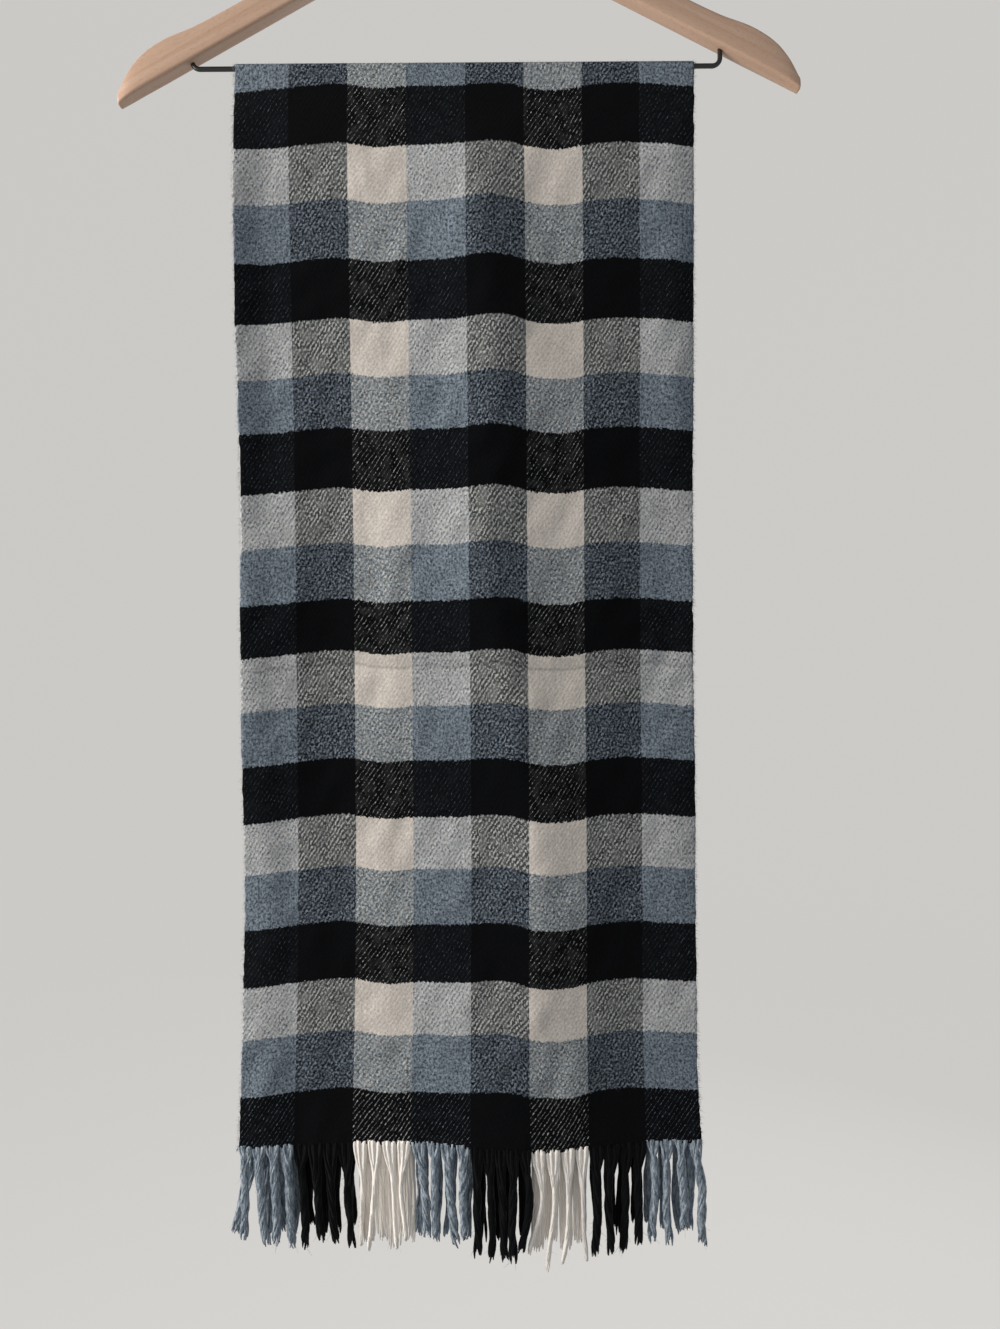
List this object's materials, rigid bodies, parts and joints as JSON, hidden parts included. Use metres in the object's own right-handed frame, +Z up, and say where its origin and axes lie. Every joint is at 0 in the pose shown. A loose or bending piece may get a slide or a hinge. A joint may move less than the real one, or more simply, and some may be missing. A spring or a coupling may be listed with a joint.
{
  "type": "cashmere scarf folded over a wooden clothes hanger",
  "caption": "Brushed cashmere scarf in a black, cream and blue-grey block check with twisted fringe, folded over the wire bar of a wooden hanger.",
  "frame": {"origin": "inner top of the hook, where the rail carries it", "axes": "+Z up, the scarf's front faces -Y, +X to the right seen from the front"},
  "size_m": [0.446, 0.0243, 0.994],
  "materials": {
    "check_cloth": "brushed twill, black, cream and blue-grey check",
    "tassel_blue": "twisted soft yarn, blue-grey",
    "tassel_black": "twisted soft yarn, black",
    "tassel_cream": "twisted soft yarn, cream",
    "hanger_wood": "sanded and waxed beech",
    "bar_enamel": "black enamelled wire",
    "hook_nickel": "nickel-plated steel wire"
  },
  "bodies": {
    "root": {"scarf_front": "check_cloth", "scarf_fold": "check_cloth", "scarf_back": "check_cloth", "hanger_body": "hanger_wood", "hanger_bar": "bar_enamel", "hanger_hook": "hook_nickel", "fringe_front_1": "tassel_blue", "fringe_front_2": "tassel_black", "fringe_front_3": "tassel_cream", "fringe_front_4": "tassel_blue", "fringe_front_5": "tassel_black", "fringe_front_6": "tassel_cream", "fringe_front_7": "tassel_black", "fringe_front_8": "tassel_blue", "fringe_back_1": "tassel_blue", "fringe_back_2": "tassel_black", "fringe_back_3": "tassel_cream", "fringe_back_4": "tassel_blue", "fringe_back_5": "tassel_black", "fringe_back_6": "tassel_cream", "fringe_back_7": "tassel_black", "fringe_back_8": "tassel_blue"}
  },
  "joints": []
}
